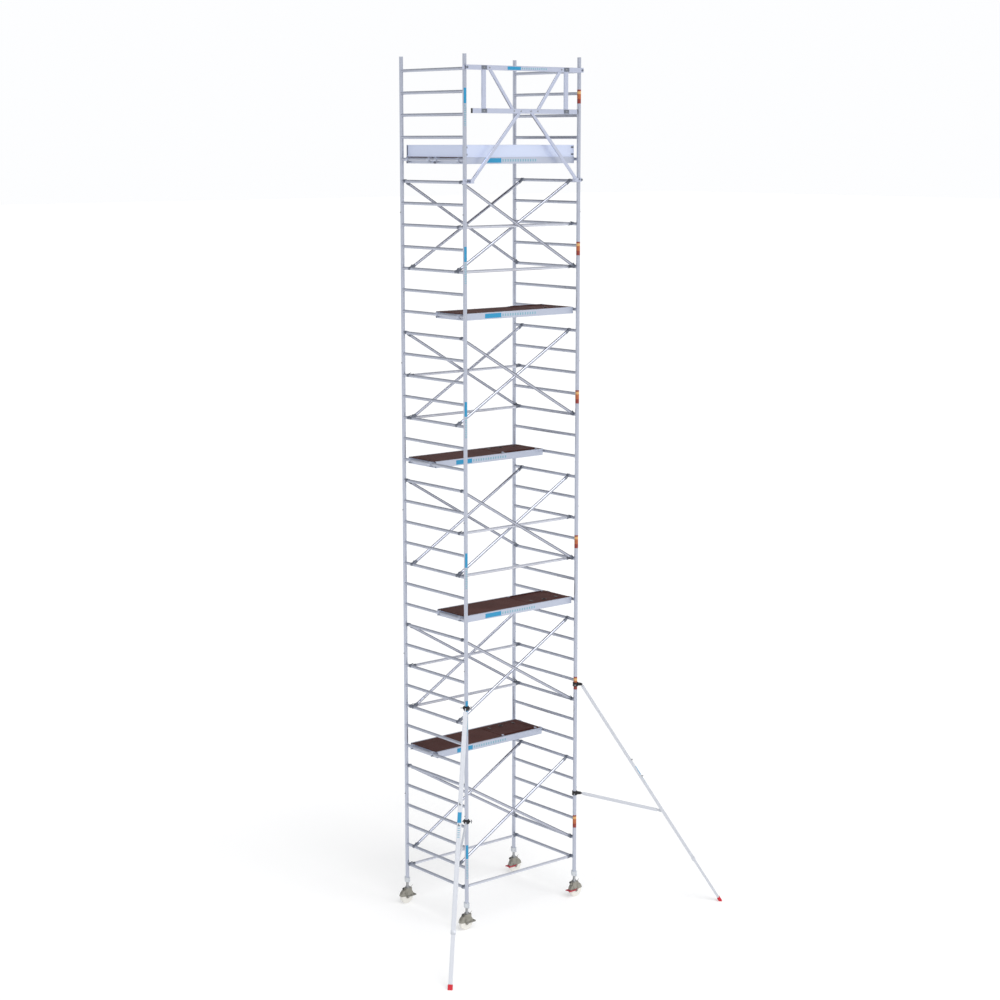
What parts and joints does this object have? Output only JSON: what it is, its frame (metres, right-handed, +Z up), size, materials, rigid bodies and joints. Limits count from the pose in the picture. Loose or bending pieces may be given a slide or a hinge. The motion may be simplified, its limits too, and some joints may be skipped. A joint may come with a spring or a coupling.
{
  "type": "mobile tower scaffold",
  "caption": "Tall aluminium tower scaffold on braked castors: ladder end frames, cross braces, hatch platforms, toe boards, a guardrail frame and two raking stabilisers.",
  "frame": {"origin": "on the ground, at the middle of the overall plan", "axes": "+Z up; +X along the bay; +Y from the side with the stabilisers to the far side"},
  "size_m": [4.8434, 2.8082, 11.385],
  "materials": {
    "frame_aluminium": "drawn, satin",
    "brace_aluminium": "drawn, satin",
    "hook_aluminium": "cast, matt",
    "guard_aluminium": "drawn, satin",
    "board_aluminium": "extruded, satin",
    "beam_aluminium": "extruded, satin",
    "stabiliser_aluminium": "drawn, satin",
    "deck_ply": "film-faced birch ply, slip-resistant",
    "hatch_ply": "film-faced birch ply, slip-resistant",
    "clip_steel": "zinc plated",
    "stem_steel": "zinc plated",
    "nut_nylon": "moulded, pale",
    "fork_zinc": "yellow-grey zinc plate",
    "wheel_nylon": "cast nylon",
    "pedal_red": "red coat",
    "pedal_grey": "grey coat",
    "coupler_black": "black coat",
    "foot_rubber": "red rubber"
  },
  "bodies": {
    "tower": {"ladder_frame_left_1": "frame_aluminium", "ladder_frame_left_2": "frame_aluminium", "ladder_frame_left_3": "frame_aluminium", "ladder_frame_left_4": "frame_aluminium", "ladder_frame_left_5": "frame_aluminium", "ladder_frame_left_6": "frame_aluminium", "ladder_frame_right_1": "frame_aluminium", "ladder_frame_right_2": "frame_aluminium", "ladder_frame_right_3": "frame_aluminium", "ladder_frame_right_4": "frame_aluminium", "ladder_frame_right_5": "frame_aluminium", "ladder_frame_right_6": "frame_aluminium", "frame_clips": "clip_steel", "diagonal_braces": "brace_aluminium", "horizontal_braces": "brace_aluminium", "brace_hooks": "hook_aluminium", "toe_boards": "board_aluminium", "guardrail_frame": "guard_aluminium", "platform_decks": "deck_ply", "platform_frame_1": "beam_aluminium", "platform_frame_2": "beam_aluminium", "platform_frame_3": "beam_aluminium", "platform_frame_4": "beam_aluminium", "platform_frame_5": "beam_aluminium", "platform_frame_5_near": "beam_aluminium"},
    "leg_front_left": {"leg_front_left": "stem_steel"},
    "nut_front_left": {"leg_nut_front_left": "nut_nylon"},
    "castor_front_left": {"castor_fork_front_left": "fork_zinc"},
    "wheel_front_left": {"castor_wheel_front_left": "wheel_nylon"},
    "pedal_front_left": {"brake_pedal_front_left": "pedal_grey"},
    "leg_front_right": {"leg_front_right": "stem_steel"},
    "nut_front_right": {"leg_nut_front_right": "nut_nylon"},
    "castor_front_right": {"castor_fork_front_right": "fork_zinc"},
    "wheel_front_right": {"castor_wheel_front_right": "wheel_nylon"},
    "pedal_front_right": {"brake_pedal_front_right": "pedal_red"},
    "leg_back_left": {"leg_back_left": "stem_steel"},
    "nut_back_left": {"leg_nut_back_left": "nut_nylon"},
    "castor_back_left": {"castor_fork_back_left": "fork_zinc"},
    "wheel_back_left": {"castor_wheel_back_left": "wheel_nylon"},
    "pedal_back_left": {"brake_pedal_back_left": "pedal_grey"},
    "leg_back_right": {"leg_back_right": "stem_steel"},
    "nut_back_right": {"leg_nut_back_right": "nut_nylon"},
    "castor_back_right": {"castor_fork_back_right": "fork_zinc"},
    "wheel_back_right": {"castor_wheel_back_right": "wheel_nylon"},
    "pedal_back_right": {"brake_pedal_back_right": "pedal_red"},
    "hatch_1": {"trapdoor_1": "hatch_ply"},
    "hatch_2": {"trapdoor_2": "hatch_ply"},
    "hatch_3": {"trapdoor_3": "hatch_ply"},
    "hatch_4": {"trapdoor_4": "hatch_ply"},
    "hatch_5": {"trapdoor_5": "hatch_ply"},
    "stabiliser_left": {"stabiliser_couplers_left": "coupler_black", "stabiliser_leg_left": "stabiliser_aluminium"},
    "stabiliser_tube_left": {"stabiliser_inner_left": "stabiliser_aluminium", "stabiliser_foot_left": "foot_rubber"},
    "stabiliser_right": {"stabiliser_couplers_right": "coupler_black", "stabiliser_leg_right": "stabiliser_aluminium"},
    "stabiliser_tube_right": {"stabiliser_inner_right": "stabiliser_aluminium", "stabiliser_foot_right": "foot_rubber"}
  },
  "joints": [
    {"name": "leg_slide_front_left", "type": "slide", "parent": "tower", "child": "leg_front_left", "axis": [0, 0, -1], "range_m": [-0.06, 0.15]},
    {"name": "nut_turn_front_left", "type": "hinge", "parent": "tower", "child": "nut_front_left", "pos_m": [-0.9575, 0.06065, 0.335], "axis": [0, 0, 1], "range_deg": [-2710, 6760]},
    {"name": "castor_swivel_front_left", "type": "hinge", "parent": "leg_front_left", "child": "castor_front_left", "pos_m": [-0.9575, 0.06065, 0.218], "axis": [0, 0, 1], "continuous": true},
    {"name": "wheel_spin_front_left", "type": "hinge", "parent": "castor_front_left", "child": "wheel_front_left", "pos_m": [-0.9755, 0.06065, 0.1], "axis": [0, 1, 0], "continuous": true},
    {"name": "brake_pedal_front_left", "type": "hinge", "parent": "castor_front_left", "child": "pedal_front_left", "pos_m": [-0.9755, 0.06065, 0.1], "axis": [0, 1, 0], "range_deg": [0, 25]},
    {"name": "leg_slide_front_right", "type": "slide", "parent": "tower", "child": "leg_front_right", "axis": [0, 0, -1], "range_m": [-0.06, 0.15]},
    {"name": "nut_turn_front_right", "type": "hinge", "parent": "tower", "child": "nut_front_right", "pos_m": [0.9575, 0.06065, 0.335], "axis": [0, 0, 1], "range_deg": [-2710, 6760]},
    {"name": "castor_swivel_front_right", "type": "hinge", "parent": "leg_front_right", "child": "castor_front_right", "pos_m": [0.9575, 0.06065, 0.218], "axis": [0, 0, 1], "continuous": true},
    {"name": "wheel_spin_front_right", "type": "hinge", "parent": "castor_front_right", "child": "wheel_front_right", "pos_m": [0.9755, 0.06065, 0.1], "axis": [0, 1, 0], "continuous": true},
    {"name": "brake_pedal_front_right", "type": "hinge", "parent": "castor_front_right", "child": "pedal_front_right", "pos_m": [0.9755, 0.06065, 0.1], "axis": [0, -1, 0], "range_deg": [0, 25]},
    {"name": "leg_slide_back_left", "type": "slide", "parent": "tower", "child": "leg_back_left", "axis": [0, 0, -1], "range_m": [-0.06, 0.15]},
    {"name": "nut_turn_back_left", "type": "hinge", "parent": "tower", "child": "nut_back_left", "pos_m": [-0.9575, 1.35065, 0.335], "axis": [0, 0, 1], "range_deg": [-2710, 6760]},
    {"name": "castor_swivel_back_left", "type": "hinge", "parent": "leg_back_left", "child": "castor_back_left", "pos_m": [-0.9575, 1.35065, 0.218], "axis": [0, 0, 1], "continuous": true},
    {"name": "wheel_spin_back_left", "type": "hinge", "parent": "castor_back_left", "child": "wheel_back_left", "pos_m": [-0.9755, 1.35065, 0.1], "axis": [0, 1, 0], "continuous": true},
    {"name": "brake_pedal_back_left", "type": "hinge", "parent": "castor_back_left", "child": "pedal_back_left", "pos_m": [-0.9755, 1.35065, 0.1], "axis": [0, 1, 0], "range_deg": [0, 25]},
    {"name": "leg_slide_back_right", "type": "slide", "parent": "tower", "child": "leg_back_right", "axis": [0, 0, -1], "range_m": [-0.06, 0.15]},
    {"name": "nut_turn_back_right", "type": "hinge", "parent": "tower", "child": "nut_back_right", "pos_m": [0.9575, 1.35065, 0.335], "axis": [0, 0, 1], "range_deg": [-2710, 6760]},
    {"name": "castor_swivel_back_right", "type": "hinge", "parent": "leg_back_right", "child": "castor_back_right", "pos_m": [0.9575, 1.35065, 0.218], "axis": [0, 0, 1], "continuous": true},
    {"name": "wheel_spin_back_right", "type": "hinge", "parent": "castor_back_right", "child": "wheel_back_right", "pos_m": [0.9755, 1.35065, 0.1], "axis": [0, 1, 0], "continuous": true},
    {"name": "brake_pedal_back_right", "type": "hinge", "parent": "castor_back_right", "child": "pedal_back_right", "pos_m": [0.9755, 1.35065, 0.1], "axis": [0, -1, 0], "range_deg": [0, 25]},
    {"name": "hatch_1", "type": "hinge", "parent": "tower", "child": "hatch_1", "pos_m": [0.5515, 0.77465, 2.2855], "axis": [1, 0, 0], "range_deg": [0, 95]},
    {"name": "hatch_2", "type": "hinge", "parent": "tower", "child": "hatch_2", "pos_m": [0.5515, 0.63665, 4.2455], "axis": [-1, 0, 0], "range_deg": [0, 95]},
    {"name": "hatch_3", "type": "hinge", "parent": "tower", "child": "hatch_3", "pos_m": [0.5515, 0.77465, 6.2055], "axis": [1, 0, 0], "range_deg": [0, 95]},
    {"name": "hatch_4", "type": "hinge", "parent": "tower", "child": "hatch_4", "pos_m": [0.5515, 0.63665, 8.1655], "axis": [-1, 0, 0], "range_deg": [0, 95]},
    {"name": "hatch_5", "type": "hinge", "parent": "tower", "child": "hatch_5", "pos_m": [0.5515, 0.77465, 10.1255], "axis": [1, 0, 0], "range_deg": [0, 95]},
    {"name": "stabiliser_swing_left", "type": "hinge", "parent": "tower", "child": "stabiliser_left", "pos_m": [-0.9575, 0.06065, 2.26], "axis": [0, 0, 1], "range_deg": [-35, 35]},
    {"name": "stabiliser_extend_left", "type": "slide", "parent": "stabiliser_left", "child": "stabiliser_tube_left", "axis": [-0.3813, -0.3813, -0.8422], "range_m": [-0.4, 0.3]},
    {"name": "stabiliser_swing_right", "type": "hinge", "parent": "tower", "child": "stabiliser_right", "pos_m": [0.9575, 0.06065, 2.26], "axis": [0, 0, 1], "range_deg": [-35, 35]},
    {"name": "stabiliser_extend_right", "type": "slide", "parent": "stabiliser_right", "child": "stabiliser_tube_right", "axis": [0.3813, -0.3813, -0.8422], "range_m": [-0.4, 0.3]}
  ],
  "couplings": [
    {"joint": "nut_turn_front_left", "follows": "leg_slide_front_left", "rad_per_m": 785.4},
    {"joint": "nut_turn_front_right", "follows": "leg_slide_front_right", "rad_per_m": 785.4},
    {"joint": "nut_turn_back_left", "follows": "leg_slide_back_left", "rad_per_m": 785.4},
    {"joint": "nut_turn_back_right", "follows": "leg_slide_back_right", "rad_per_m": 785.4}
  ]
}
